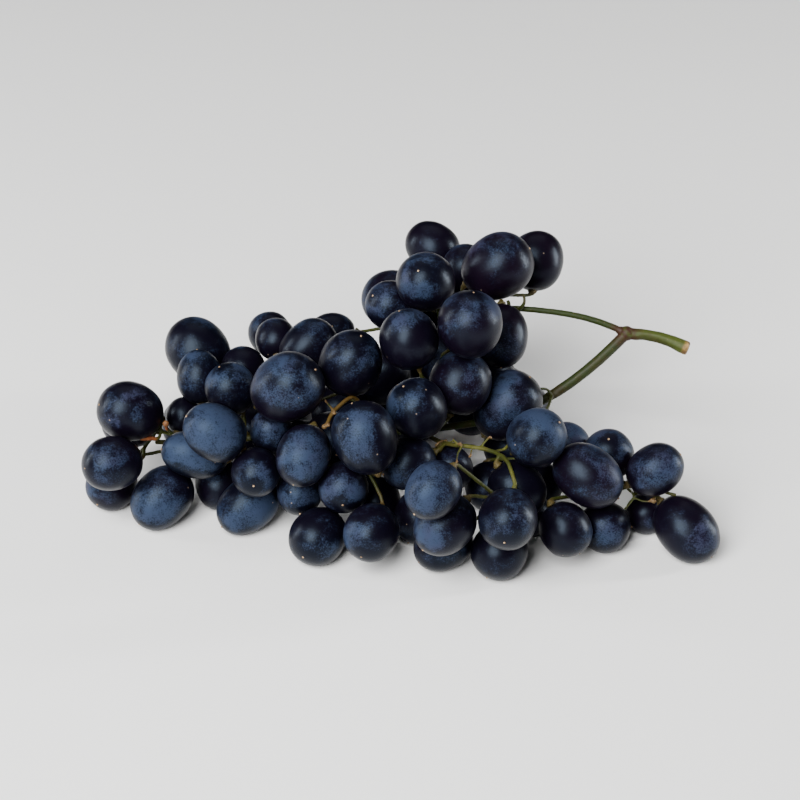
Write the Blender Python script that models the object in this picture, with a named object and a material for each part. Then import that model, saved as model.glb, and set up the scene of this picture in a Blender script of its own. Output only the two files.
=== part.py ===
"""A bunch of black grapes lying on a flat surface, with its cut stem.

Each grape is its own solid, an egg-shaped berry a little longer than it is
wide. The stem grew in one piece: the cut stalk, its fork, the shoulder arm,
the main arm and a short stalk to every grape. The bunch is a heap that slopes
back from the front, so the grapes and arms are placed on that slope: across
it, up it and out of it. They are then pushed apart until none overlaps.

Sizes are in millimetres, and the model is in metres, +Z up, with its origin
on the surface under the middle of the bunch.
"""
import math

import bmesh
import bpy
import numpy as np
from mathutils import Matrix, Vector

MM = 0.001

# Driving sizes, in millimetres and degrees.
GRAPE_LENGTH = 24.0     # a middling grape, from stem end to tip
GRAPE_WIDTH = 21.5      # the same grape, across
SPREAD = 1.0            # how widely the bunch is laid out, 1 as picked
FACE_TILT = 32.0        # how far the heap's face leans back from upright
GAP = 0.3               # left between two grapes, and between grape and stem
REST_DENT = 0.9         # how far a resting grape is pressed flat
NEAR_SURFACE = 3.5      # a grape this close to the surface sinks onto it
STALK_WIDTH = 4.4       # the cut stalk, at its cut end
FORK_WIDTH = 4.8        # the swollen knot where the stalk forks
SHOULDER_WIDTH = 2.4    # the arm that carries the shoulder
MAIN_WIDTH = 3.4        # the arm that runs through the bunch, at the fork
MAIN_END_WIDTH = 2.0    # the same arm, at its far end
SIDE_WIDTH = 1.8        # the side arm seen in the front of the bunch
PEDICEL_WIDTH = 1.6     # the short stalk of one grape
SEAT_WIDTH = 3.0        # the small collar where a short stalk meets its grape
SEAT_LENGTH = 3.6       # the straight run of a short stalk before its grape
NECK_WIDTH = 5.0        # where two hidden grapes are pressed into one clump
FACE_MIDDLE = (0.0, 50.0, 30.0)     # where the slope's own zero point lies

# The middling grape that the lengths and widths listed below belong to.
LISTED_LENGTH, LISTED_WIDTH = 24.0, 21.5

# How finely the pieces are faceted, and how the grapes are pushed apart.
GRAPE_SIDES, GRAPE_RINGS = 10, 6
ARM_SIDES, PEDICEL_SIDES = 7, 5
SETTLE_ROUNDS = 220
GIVE_ALONG, GIVE_OUT = 0.5, 1.2     # how readily a grape moves on the slope, and out of it
HOME_ALONG, HOME_OUT = 0.15, 0.02   # how strongly it is drawn back to its own place
LARGEST_STEP = 2.0                  # how far it may move in one round
SINK_RATE = 0.125                   # the share of its height it sinks by in one round
TUCK = 0.4                          # how far stem ends are turned into the heap
MOST_HOLD = 0.74                    # how firmly a long grape keeps its own turn
CUT_MARGIN = 0.1                    # cut away around a crossed grape, beyond the gap
THREAD_MARGIN = 0.4                 # kept between a bent line and a grape, beyond the gap
RUN_SHARES = (1.0, 0.6, 0.4)        # the straight runs tried for a short stalk
ROOTS_TRIED, ROOT_SPACING = 8, 6.0  # the places on the arms tried, and how far apart
EXPOSED_COST = 0.08                 # what a millimetre of stalk in plain sight counts for
FEW_EXPOSED = 2.0                   # so much of a stalk in sight is accepted at once
NEIGHBOURHOOD = 1.3                 # grapes nearer than this many lengths may touch
HIDDEN_AXIS = (0.0, 1.0, 0.3)       # the way hidden grapes point before they are aimed

# The plain colours of the two kinds of sub-part.
SKIN_BLUE = (0.03, 0.035, 0.07)
STEM_GREEN = (0.22, 0.2, 0.06)

# name, across, up, out, length, width, turn of its long axis from level
LEFT_GRAPES = [
    ("left_1", -95, -4, 20, 24, 21, 0), ("left_2", -97, -8, 2, 21, 18.5, 0),
    ("left_3", -100, -22, 31, 21.5, 19, 5), ("left_4", -103, -30, 8, 19, 18, 90),
    ("left_5", -84, -34, 19, 25, 20, 45), ("left_6", -72, -19, 24, 24, 17, -12),
    ("left_7", -64, -11, 38, 23, 19.5, -30), ("left_8", -72, 8, 2, 19.5, 16.5, 100),
    ("left_9", -74, 18, -16, 26, 22.5, -20), ("left_10", -60, 4, 15, 19, 18, -30),
    ("left_11", -48, 24, -26, 17, 16, 0), ("left_12", -39, 4, 36, 27, 23.5, 17),
    ("left_13", -33, 19, 2, 22.5, 18.5, 25), ("left_14", -25, 24, -18, 18, 16, 0),
    ("left_15", -17, 13, 32, 24, 22, 60),
]
SHOULDER_GRAPES = [
    ("shoulder_1", 12, 57, -30, 21, 18.5, 0), ("shoulder_2", 9, 42, 13, 21.5, 21, 0),
    ("shoulder_3", 24, 48, -18, 19, 17.5, 90), ("shoulder_4", 50, 51, -18, 22.5, 20, 80),
    ("shoulder_5", 35, 48, 0, 27, 23.5, 0), ("shoulder_6", 24, 26, 38, 23.5, 22.5, 90),
    ("shoulder_7", 36, 23, 8, 23.5, 19, 90), ("shoulder_8", 3, 21, 35, 21.5, 20.5, 90),
    ("shoulder_9", -3, 37, -21, 22.5, 22, 0), ("shoulder_10", -3, 34, 0, 19.5, 18.5, 90),
    ("shoulder_11", 21, 6, 25, 23, 22, 0), ("shoulder_12", 6, -3, 38, 21.5, 20.5, 90),
    ("shoulder_13", 38, -2, 13, 27, 22.5, 48),
]
MIDDLE_GRAPES = [
    ("middle_1", -12, -13, 50, 26, 22, 98), ("middle_2", -33, -19, 44, 22, 18.5, 70),
    ("middle_3", -45, -11, 33, 17, 15, 100), ("middle_4", -50, -25, 31, 17.5, 17, 90),
    ("middle_5", -54, -35, 15, 24.5, 19, 25), ("middle_6", -64, -33, 6, 18.5, 17, 90),
    ("middle_7", -35, -32, 30, 18, 16, 90), ("middle_8", -20, -31, 38, 18.5, 17.5, 90),
    ("middle_9", -28, -45, 36, 21.5, 19.5, 15), ("middle_10", -10, -45, 44, 20.5, 19, 100),
    ("middle_11", 3, -22, 30, 20, 18, 25),
]
FRONT_GRAPES = [
    ("front_1", 11, -30, 71, 21, 18, 65), ("front_2", 15, -42, 56, 23, 20, 60),
    ("front_3", 15, -50, 38, 21.5, 18.5, 15), ("front_4", 36, -40, 62, 21, 20, 90),
    ("front_5", 34, -51, 45, 20.5, 19.5, 0), ("front_6", 40, -31, 40, 21.5, 19.5, 0),
    ("front_7", 57, -44, 39, 19.5, 18, 90), ("front_8", 71, -45, 29, 18, 18, 0),
    ("front_9", 64, -26, 43, 26, 20.5, -48), ("front_10", 47, -13, 46, 21, 20, 0),
    ("front_11", 59, -16, 15, 16, 16, 0), ("front_12", 73, -19, 26, 18.5, 18, 90),
]
RIGHT_GRAPES = [
    ("right_1", 88, -24, 35, 21, 17.5, 30), ("right_2", 99, -44, 35, 26, 20, -50),
    ("right_3", 87, -40, 20, 15, 15, 0),
]
# The hidden grapes behind and inside, each as across, depth and height, with
# its length and width. The grapes of a clump are pressed together.
CLUMPS = {
    "back_left_grapes": [(-79, 66, 10, 22, 20), (-62, 80, 10, 23, 21), (-42, 87, 10, 22, 20),
                         (-54, 60, 12, 22, 21), (-72, 46, 9, 20, 19), (-78, 49, 24, 14, 13)],
    "back_middle_grapes": [(-36, 42, 14, 22, 20), (-22, 58, 20, 23, 21), (-22, 80, 16, 22, 20),
                           (-6, 70, 28, 22, 20), (-44, 46, 34, 19, 18), (-40, 70, 30, 20, 19),
                           (-57, 60, 37, 16.5, 16), (-45, 72, 42, 15.5, 15)],
    "back_shoulder_grapes": [(-3, 90, 10, 23, 21), (12, 98, 40, 23, 21),
                             (17, 97, 17, 22, 20), (32, 84, 38, 22, 21)],
    "inner_grapes": [(38, 88, 10, 23, 21), (26, 70, 14, 22, 20), (45, 66, 16, 22, 20),
                     (40, 52, 10, 20, 19), (4, 70, 10, 20, 19), (32, 62, 34, 22, 20),
                     (16, 54, 46, 21, 20), (8, 54, 25, 22, 21), (4, 34, 37, 19, 18)],
    "under_grapes": [(-16, 34, 12, 20, 19), (-24, 24, 29, 21, 20), (-9, 15, 9, 19, 18),
                     (6, 6, 10, 19, 17), (18, 18, 22, 16, 15), (32, 25, 10, 18, 17.5),
                     (45, 9, 9, 17, 16)],
}

# The arms of the stem, each as points across, up and out on the slope.
STALK = [(103, 18.5, 3), (99.5, 21.5, 2), (94, 24.5, 1), (88, 25.3, 0), (81.5, 24, 0)]
SHOULDER_ARM = [(81.5, 24, 0), (77.5, 27.2, 0), (72, 29.3, 0), (64, 31, 0), (51, 32.5, -1),
                (37, 33.5, -2), (25, 34, -6), (14, 32, -8)]
MAIN_ARM = [(81.5, 24, 0), (77, 18.5, 0), (69.5, 11.5, 0), (61.5, 6, 0), (54, 0.5, -1),
            (46, -4, -2), (34, -8, -2), (20, -9, 2), (8, -11, 8), (-8, -12, 10),
            (-26, -10, 12), (-46, -12, 12), (-64, -16, 9), (-78, -16, 4), (-88, -15, 2)]
SIDE_ARM = [(8, -11, 8), (12, -14, 20), (14, -17.5, 28), (19, -14.5, 33), (25, -16, 34),
            (33, -16, 34), (36, -17.5, 36), (38.5, -21.5, 42), (40, -25, 48),
            (39, -28.5, 52)]
RIGHT_ARM = [(46, -4, -2), (54, -14, 2), (62, -22, 10), (72, -28, 14), (82, -30, 18)]


def slope_axes():
    """The directions across, up and out of the heap's face."""
    tilt = math.radians(FACE_TILT)
    across = np.array((1.0, 0.0, 0.0))
    up = np.array((0.0, math.sin(tilt), math.cos(tilt)))
    out = np.array((0.0, -math.cos(tilt), math.sin(tilt)))
    return across, up, out


def on_slope(across, up, out):
    """A place given on the heap's face, as x, y and z."""
    axes = slope_axes()
    spread = SPREAD * np.array((across, up, out), dtype=float)
    return np.array(FACE_MIDDLE) + sum(part * axis for part, axis in zip(spread, axes))


def berry_form(length, width, axis, extra=0.0):
    """The 3 by 3 matrix of a grape's ellipsoid, grown by extra all round."""
    axis = axis / np.linalg.norm(axis)
    long_half, wide_half = length / 2 + extra, width / 2 + extra
    return wide_half ** 2 * np.eye(3) + (long_half ** 2 - wide_half ** 2) * np.outer(axis, axis)


class Berry:
    """One grape: its size, its place and the way its long axis points."""

    def __init__(self, name, place, length, width, axis, clump=None):
        self.name = name
        self.length = length * GRAPE_LENGTH / LISTED_LENGTH
        self.width = width * GRAPE_WIDTH / LISTED_WIDTH
        self.place = place
        self.axis = axis / np.linalg.norm(axis)
        self.clump = clump
        self.ends = None

    def form(self, extra=0.0):
        return berry_form(self.length, self.width, self.axis, extra)


def list_berries():
    """Every grape at the place chosen for it."""
    across, up, _ = slope_axes()
    berries = []
    for group in (LEFT_GRAPES, SHOULDER_GRAPES, MIDDLE_GRAPES, FRONT_GRAPES, RIGHT_GRAPES):
        for name, x, y, out, length, width, turn in group:
            turn = math.radians(turn)
            axis = math.cos(turn) * across + math.sin(turn) * up
            berries.append(Berry(name + "_grape", on_slope(x, y, out), length, width, axis))
    for clump, members in CLUMPS.items():
        for x, y, z, length, width in members:
            place = np.array((x * SPREAD, y * SPREAD, z))
            berries.append(Berry(clump, place, length, width, np.array(HIDDEN_AXIS), clump))
    return berries


def arm_points():
    """Points along every arm of the stem that carries grapes."""
    arms = (MAIN_ARM, SHOULDER_ARM, SIDE_ARM, RIGHT_ARM)
    return np.concatenate([smooth_line([on_slope(*p) for p in arm])[2:] for arm in arms])


def aim(berries):
    """Turns each grape's stem end towards its arm and into the heap, the rounder ones fully."""
    network = arm_points()
    _, _, out = slope_axes()
    for berry in berries:
        nearest = network[np.argmin(np.linalg.norm(network - berry.place, axis=1))]
        inward = (nearest - berry.place) / np.linalg.norm(nearest - berry.place)
        if not berry.clump:
            inward = inward - TUCK * out
            inward = inward / np.linalg.norm(inward)
        way = berry.axis if berry.axis @ inward > 0 else -berry.axis
        hold = 0.0 if berry.clump else min(MOST_HOLD, 4 * (berry.length / berry.width - 1))
        way = hold * way + (1 - hold) * inward
        berry.axis = way / np.linalg.norm(way)


def touch_ratio(form_a, form_b, between):
    """How far pairs of ellipsoids must grow, squared, before they touch."""
    blend = np.linspace(0.05, 0.95, 19)
    mixed = ((1 - blend)[None, :, None, None] * form_a[:, None]
             + blend[None, :, None, None] * form_b[:, None])
    sides = np.broadcast_to(between[:, None, :, None], mixed.shape[:3] + (1,))
    solved = np.linalg.solve(mixed, sides)[..., 0]
    reach = np.einsum("pbk,pk->pb", solved, between)
    return (blend * (1 - blend) * reach).max(axis=1)


def settle(berries):
    """Pushes grapes apart, and up off the surface, until none overlaps.

    A grape gives way mostly along the slope's outward direction, and is
    drawn back to its own place across and up the slope.
    """
    _, _, out = slope_axes()
    home = np.array([berry.place for berry in berries])
    place = home.copy()
    forms = np.array([berry.form(GAP / 2) for berry in berries])
    rest_height = np.array([math.sqrt(berry.form()[2, 2]) - REST_DENT for berry in berries])
    for turn in range(SETTLE_ROUNDS):
        first, second = np.triu_indices(len(berries), 1)
        between = place[first] - place[second]
        apart = np.linalg.norm(between, axis=1)
        near = apart < NEIGHBOURHOOD * GRAPE_LENGTH
        first, second, between, apart = first[near], second[near], between[near], apart[near]
        ratio = touch_ratio(forms[first], forms[second], between)
        overlap = np.maximum(1 - np.sqrt(ratio), 0) * apart
        push = overlap[:, None] * between / apart[:, None] / 2
        outward = (push @ out)[:, None] * out
        push = GIVE_ALONG * (push - outward) + GIVE_OUT * outward
        move = np.zeros_like(place)
        np.add.at(move, first, push)
        np.add.at(move, second, -push)
        strayed = place - home
        stray_out = (strayed @ out)[:, None] * out
        pull = max(0.0, 1 - turn / (0.75 * SETTLE_ROUNDS))
        back = HOME_ALONG * (strayed - stray_out) + HOME_OUT * stray_out
        place += np.clip(move, -LARGEST_STEP, LARGEST_STEP) - pull * back
        above = place[:, 2] - rest_height
        place[:, 2] -= np.where((above < NEAR_SURFACE) & (pull > 0), above * SINK_RATE, 0)
        place[:, 2] = np.maximum(place[:, 2], rest_height)
    for berry, final in zip(berries, place):
        berry.place = final


def find_necks(berries):
    """The places where a clump's grapes are joined, as small round bodies.

    Each grape of a clump joins the nearest one before it in that clump.
    """
    necks = []
    for clump in CLUMPS:
        members = [berry for berry in berries if berry.clump == clump]
        for index, berry in enumerate(members[1:], start=1):
            other = min(members[:index], key=lambda b: np.linalg.norm(b.place - berry.place))
            way = other.place - berry.place
            length = np.linalg.norm(way) - (berry.width + other.width) / 2
            neck = Berry("neck", (berry.place + other.place) / 2, NECK_WIDTH, NECK_WIDTH, way, clump)
            neck.length, neck.width = NECK_WIDTH + length, 1.2 * NECK_WIDTH
            neck.ends = (berry.place, other.place)
            necks.append(neck)
    return necks


def smooth_line(points, step=3.0):
    """Points every few millimetres along a smooth line through the given ones."""
    points = [np.array(p, dtype=float) for p in points]
    ends = [2 * points[0] - points[1]] + points + [2 * points[-1] - points[-2]]
    line = []
    for a, b, c, d in zip(ends, ends[1:], ends[2:], ends[3:]):
        count = max(1, round(np.linalg.norm(c - b) / step))
        for t in np.arange(count) / count:
            line.append(0.5 * (2 * b + (c - a) * t + (2 * a - 5 * b + 4 * c - d) * t ** 2
                               + (3 * b - a - 3 * c + d) * t ** 3))
    line.append(points[-1])
    return np.array(line)


def depths_in(points, berries, extra):
    """How deep each point lies in each grape grown by extra: under 1 is inside."""
    off = points[:, None] - np.array([berry.place for berry in berries])[None]
    inverses = np.linalg.inv(np.array([berry.form(extra) for berry in berries]))
    return off, np.sqrt(np.einsum("pbi,bij,pbj->pb", off, inverses, off))


def thread(line, width, berries, rounds=40):
    """Bends a line round the grapes, keeping the points at its two ends."""
    line = line.copy()
    clear = width / 2 + GAP + THREAD_MARGIN
    reach = np.linalg.norm(line[-1] - line[0]) / 2 + GRAPE_LENGTH
    middle = (line[0] + line[-1]) / 2
    berries = [b for b in berries if np.linalg.norm(b.place - middle) < reach + b.length]
    for turn in range(rounds if berries else 0):
        between = (line[:-2] + line[2:]) / 2
        if turn < rounds - 4:
            line[1:-1] = 0.6 * line[1:-1] + 0.4 * between
        off, depth = depths_in(line[1:-1], berries, clear)
        rows = np.arange(len(depth))
        deepest = depth.argmin(axis=1)
        off, depth = off[rows, deepest], depth[rows, deepest]
        shift = off / depth[:, None] - off
        line[1:-1] += np.where((depth < 1)[:, None], shift, 0)
    return line


def fewer(line):
    """Every second point of a line, with both of its ends."""
    return np.concatenate((line[:-1:2], line[-1:]))


def worst_depth(line, width, berries):
    """How far a line reaches into the clearance round any of the grapes."""
    shares = np.linspace(0, 1, 6)[:, None, None]
    samples = (line[:-1] + shares * (line[1:] - line[:-1])).reshape(-1, 3)
    _, depth = depths_in(samples, berries, width / 2 + GAP)
    widths = np.array([berry.width for berry in berries])
    return max(0.0, ((1 - depth.min(axis=0)) * widths / 2).max())


def exposed_length(line, berries):
    """How much of a line no grape hides from the front of the heap."""
    _, _, out = slope_axes()
    middles = (line[1:] + line[:-1]) / 2
    off = middles[:, None] - np.array([berry.place for berry in berries])[None]
    inverses = np.linalg.inv(np.array([berry.form() for berry in berries]))
    square = np.einsum("i,bij,j->b", out, inverses, out)[None]
    cross = np.einsum("pbi,bij,j->pb", off, inverses, out)
    rest = np.einsum("pbi,bij,pbj->pb", off, inverses, off) - 1
    inside = cross ** 2 - square * rest
    covers = (inside > 0) & (np.sqrt(np.maximum(inside, 0)) > cross)
    return np.linalg.norm(line[1:] - line[:-1], axis=1)[~covers.any(axis=1)].sum()


def pedicel_tries(berry, network, bodies):
    """Short stalks that could carry one grape, the most direct ones first.

    They start on different parts of the arms, and end in a longer or a
    shorter straight run.
    """
    way = berry.axis
    pole = berry.place + way * (berry.length / 2 + GAP)
    for run in RUN_SHARES:
        lift = pole + way * SEAT_LENGTH * run
        away = np.linalg.norm(network - lift, axis=1)
        for _ in range(ROOTS_TRIED):
            root = network[np.argmin(away)]
            away[np.linalg.norm(network - root, axis=1) < ROOT_SPACING] = np.inf
            if np.linalg.norm(root - lift) < SEAT_LENGTH:
                yield np.array([root, pole + way * SEAT_LENGTH / 4, pole])
            else:
                line = thread(smooth_line([root, (root + lift) / 2, lift]), PEDICEL_WIDTH, bodies)
                line = fewer(line)
                bend = 0.7 * line[-1] + 0.3 * line[-2]
                yield np.concatenate((line[:-1], [bend, 0.7 * lift + 0.3 * pole, pole]))


def pedicel_line(berry, network, bodies):
    """The short stalk that keeps out of the other grapes and stays behind them."""
    others = [b for b in bodies if b is not berry]
    best, least = None, math.inf
    for line in pedicel_tries(berry, network, bodies):
        depth = worst_depth(line, PEDICEL_WIDTH, others)
        exposed = exposed_length(line, bodies)
        if depth + EXPOSED_COST * exposed < least:
            best, least = line, depth + EXPOSED_COST * exposed
        if depth < CUT_MARGIN and exposed < FEW_EXPOSED:
            break
    return best


def tube(name, line, widths, sides):
    """A closed round tube along a line, with a width at each of its points."""
    form = bmesh.new()
    line = [Vector(p) for p in line]
    tangents = [(b - a).normalized() for a, b in
                zip(line[:1] + line[:-1], line[1:] + line[-1:])]
    side = tangents[0].orthogonal().normalized()
    rings = []
    for point, tangent, width in zip(line, tangents, widths):
        side = (side - side.dot(tangent) * tangent).normalized()
        other = tangent.cross(side)
        ring = []
        for k in range(sides):
            angle = 2 * math.pi * k / sides
            offset = (math.cos(angle) * side + math.sin(angle) * other) * width / 2
            ring.append(form.verts.new((point + offset) * MM))
        rings.append(ring)
    for low, high in zip(rings, rings[1:]):
        for k in range(sides):
            form.faces.new((low[k], low[k - 1], high[k - 1], high[k]))
    form.faces.new(rings[0])
    form.faces.new(reversed(rings[-1]))
    bmesh.ops.recalc_face_normals(form, faces=form.faces)
    return new_object(name, form)


def new_object(name, form):
    """A scene object from a finished bmesh, shaded smooth."""
    mesh = bpy.data.meshes.new(name)
    form.to_mesh(mesh)
    form.free()
    mesh.shade_smooth()
    item = bpy.data.objects.new(name, mesh)
    bpy.context.collection.objects.link(item)
    return item


def finish(name, colour, roughness):
    """A plain material for one kind of sub-part."""
    material = bpy.data.materials.new(name)
    material.use_nodes = True
    shader = material.node_tree.nodes["Principled BSDF"]
    shader.inputs["Base Color"].default_value = (*colour, 1)
    shader.inputs["Roughness"].default_value = roughness
    shader.inputs["Metallic"].default_value = 0
    return material


def berry_mesh(berry, grow=0.0, pressed=True):
    """An egg-round grape, flat where it is pressed on the surface."""
    form = bmesh.new()
    bmesh.ops.create_uvsphere(form, u_segments=GRAPE_SIDES, v_segments=GRAPE_RINGS, radius=0.5)
    turn = Vector((0, 0, 1)).rotation_difference(Vector(berry.axis)).to_matrix().to_4x4()
    size = Matrix.Diagonal((berry.width + 2 * grow, berry.width + 2 * grow,
                            berry.length + 2 * grow, 1))
    place = Matrix.Translation(berry.place)
    bmesh.ops.transform(form, matrix=Matrix.Scale(MM, 4) @ place @ turn @ size, verts=form.verts)
    if pressed and min(v.co.z for v in form.verts) < 0:
        everything = form.verts[:] + form.edges[:] + form.faces[:]
        bmesh.ops.bisect_plane(form, geom=everything, plane_co=(0, 0, 0), plane_no=(0, 0, 1),
                               clear_inner=True)
        bmesh.ops.holes_fill(form, edges=[e for e in form.edges if e.is_boundary])
        bmesh.ops.recalc_face_normals(form, faces=form.faces)
    return form


def boolean(target, operation, tools):
    """Joins or cuts one object with several others, and keeps the result."""
    group = bpy.data.collections.new("tools")
    for tool in tools:
        group.objects.link(tool)
    step = target.modifiers.new("step", "BOOLEAN")
    step.operation = operation
    step.solver = "EXACT"
    step.use_self = True
    step.operand_type = "COLLECTION"
    step.collection = group
    graph = bpy.context.evaluated_depsgraph_get()
    result = bpy.data.meshes.new_from_object(target.evaluated_get(graph))
    target.modifiers.clear()
    target.data = result
    for tool in tools:
        bpy.data.objects.remove(tool)
    bpy.data.collections.remove(group)


def biggest_piece(item):
    """Keeps the largest piece of a mesh, leaving out crumbs that only touch its edges."""
    form = bmesh.new()
    form.from_mesh(item.data)
    unseen = set(form.faces)
    pieces = []
    while unseen:
        front = [unseen.pop()]
        piece = list(front)
        while front:
            for edge in front.pop().edges:
                for other in edge.link_faces if len(edge.link_faces) == 2 else ():
                    if other in unseen:
                        unseen.remove(other)
                        front.append(other)
                        piece.append(other)
        pieces.append(piece)
    pieces.sort(key=len)
    for piece in pieces[:-1]:
        bmesh.ops.delete(form, geom=piece, context="FACES")
    form.to_mesh(item.data)
    form.free()


def build_stem(berries):
    """The stalk, its fork, the arms and a short stalk to each grape, as one piece."""
    arms = []
    network = []
    bodies = berries + find_necks(berries)
    plan = (("stem", MAIN_ARM, MAIN_WIDTH, MAIN_END_WIDTH),
            ("stalk", STALK, STALK_WIDTH, MAIN_WIDTH),
            ("shoulder_arm", SHOULDER_ARM, SHOULDER_WIDTH, PEDICEL_WIDTH),
            ("side_arm", SIDE_ARM, SIDE_WIDTH, PEDICEL_WIDTH),
            ("right_arm", RIGHT_ARM, SIDE_WIDTH, PEDICEL_WIDTH))
    for name, route, start_width, end_width in plan:
        line = smooth_line([on_slope(*point) for point in route])
        line = thread(line, start_width, bodies)
        if name != "stalk":
            network.extend(line[2:])
        drawn = fewer(line)
        arms.append(tube(name, drawn, np.linspace(start_width, end_width, len(drawn)), ARM_SIDES))
    network = np.array(network)
    crossed = {b for b in bodies if worst_depth(network, MAIN_WIDTH, [b]) > 0}
    berries = sorted(berries, key=lambda b: np.linalg.norm(network - b.place, axis=1).min())
    for berry in berries:
        line = pedicel_line(berry, network, bodies)
        network = np.concatenate((network, line[1:-2]))
        widths = [PEDICEL_WIDTH] * (len(line) - 1) + [SEAT_WIDTH]
        arms.append(tube("pedicel", line, widths, PEDICEL_SIDES))
        crossed.update(b for b in bodies if b is not berry and (
            worst_depth(line, PEDICEL_WIDTH, [b]) > 0 or worst_depth(line[-2:], SEAT_WIDTH, [b]) > 0))
    knot = bmesh.new()
    bmesh.ops.create_icosphere(knot, subdivisions=2, radius=FORK_WIDTH / 2 * MM,
                               matrix=Matrix.Translation(Vector(on_slope(*MAIN_ARM[0])) * MM))
    arms.append(new_object("knot", knot))
    stem = arms[0]
    boolean(stem, "UNION", arms[1:])
    grow = GAP + CUT_MARGIN
    cutters = [neck_tube(b, grow) if b.ends else
               new_object("cutter", berry_mesh(b, grow, pressed=False))
               for b in bodies if b in crossed]
    boolean(stem, "DIFFERENCE", cutters)
    biggest_piece(stem)
    stem.data.materials.clear()
    stem.data.materials.append(finish("stem", STEM_GREEN, 0.6))


def neck_tube(neck, grow=0.0):
    """The join between two grapes of a clump, from middle to middle."""
    near, far = neck.ends
    width = NECK_WIDTH + 2 * grow
    return tube("neck", [near, (near + far) / 2, far], [width] * 3, ARM_SIDES)


def build_clump(name, members, necks):
    """Grapes pressed together, as one piece joined by its necks."""
    parts = [new_object(name, berry_mesh(berry)) for berry in members]
    parts += [neck_tube(neck) for neck in necks]
    boolean(parts[0], "UNION", parts[1:])
    return parts[0]


def main():
    for item in list(bpy.data.objects):
        bpy.data.objects.remove(item)
    berries = list_berries()
    aim(berries)
    settle(berries)
    build_stem(berries)
    skin = finish("grapes", SKIN_BLUE, 0.35)
    for berry in berries:
        if not berry.clump:
            new_object(berry.name, berry_mesh(berry)).data.materials.append(skin)
    necks = find_necks(berries)
    for clump in CLUMPS:
        item = build_clump(clump, [b for b in berries if b.clump == clump],
                           [n for n in necks if n.clump == clump])
        item.data.materials.clear()
        item.data.materials.append(skin)
    corners = [v.co for item in bpy.data.objects for v in item.data.vertices]
    low = [min(c[k] for c in corners) for k in range(3)]
    high = [max(c[k] for c in corners) for k in range(3)]
    middle = Vector(((low[0] + high[0]) / 2, (low[1] + high[1]) / 2, low[2]))
    for item in bpy.data.objects:
        item.data.transform(Matrix.Translation(-middle))


main()
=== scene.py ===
"""The looks of a bunch of black grapes lying on a pale table, with its cut stem.

Lengths are in metres unless a name or a comment says millimetres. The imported
model gives every grape its place, size and turn, and the fine grapes and stem
made here take their place from it.
"""
import math

import bmesh
import bpy
import numpy as np
from mathutils import Matrix, Vector


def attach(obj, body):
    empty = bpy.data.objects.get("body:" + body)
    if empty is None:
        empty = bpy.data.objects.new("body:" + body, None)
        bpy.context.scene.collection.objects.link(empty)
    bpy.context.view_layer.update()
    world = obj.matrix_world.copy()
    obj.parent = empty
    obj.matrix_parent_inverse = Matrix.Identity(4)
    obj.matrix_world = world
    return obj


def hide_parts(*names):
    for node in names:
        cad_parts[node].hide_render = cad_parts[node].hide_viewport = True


MM = 0.001

# The heap's face: where its middle lies, and how far it leans back.
FACE_MIDDLE = np.array((0.9, 10.1, 30.0))   # millimetres
FACE_TILT = math.radians(32)

# The camera looks straight at the heap's face.
CAMERA_DISTANCE = 0.9
VIEW_WIDTH = 0.288          # what the view takes in at the heap's middle
SENSOR_WIDTH = 36.0

TABLE_RADIUS = 1.3
TABLE_WHITES = (0.89, 0.89, 0.88), (0.9, 0.9, 0.89)
SURROUND_COLOUR = (0.94, 0.95, 0.96)
SURROUND_LIGHT, SURROUND_SEEN = 0.025, 1.05   # how strongly the surround lights, and looks
# Soft lights: the way to each as right, up and towards the camera, how far off it is,
# its width and height, and its watts.
SOFTBOXES = {
    "key": ((-0.36, 0.2, 0.9), 1.3, (0.8, 1.1), 50),
    "left strip": ((-0.96, 0.28, 0.09), 0.8, (0.08, 0.5), 4),
    "right strip": ((0.97, 0.14, -0.05), 0.8, (0.08, 0.6), 10),
    "overhead": ((0.0, 0.95, 0.1), 1.8, (1.6, 1.2), 5),
}

# How finely a grape is drawn.
GRAPE_SIDES, GRAPE_RINGS = 56, 36
ABOVE_TABLE = 1e-4          # what a pressed grape's flat lies under
TIP_CHANGE, TIP_TURN = 0.05, 9.1        # how grapes differ in how full their tips are
# Every grape's skin starts elsewhere in the noises.
FIRST_SEED, PIECE_STEP, GRAPE_STEP = 1.0, 0.61, 0.37
# How far out a clump's corners are taken for a grape's own, try by try.
CLUMP_REACHES = (1.6, 1.4, 1.25, 1.15, 1.1)

# Painted shade: bloom is taken off where a neighbour is this close, in millimetres, where grapes
# also rub it, and underneath and where the skin turns towards the stem.
TOUCH_FAR, TOUCH_NEAR = 2.6, 0.4
UNDER_FROM, UNDER_TO = 0.15, -0.75      # the upright part of the skin's facing
INWARD_FROM, INWARD_TO = 0.75, 0.0      # how much the skin faces away from the stem

# The skin's noises: scale, detail, roughness and, for some, distortion.
SKIN_PATCHES = (75, 4, 0.6, 0.7)
SKIN_MOTTLE = (420, 4, 0.75, 0.6)
SKIN_GRAIN = (1900, 3, 0.8)
SKIN_HUE = (110, 3, 0.55)
HUE_SHIFT, HUE_FROM, HUE_TO = (3.1, 1.3, 0.7), 0.35, 0.7
SEED_SLANT = 1.7            # how far a seed shifts the noises along Y, for 1 along X
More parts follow.
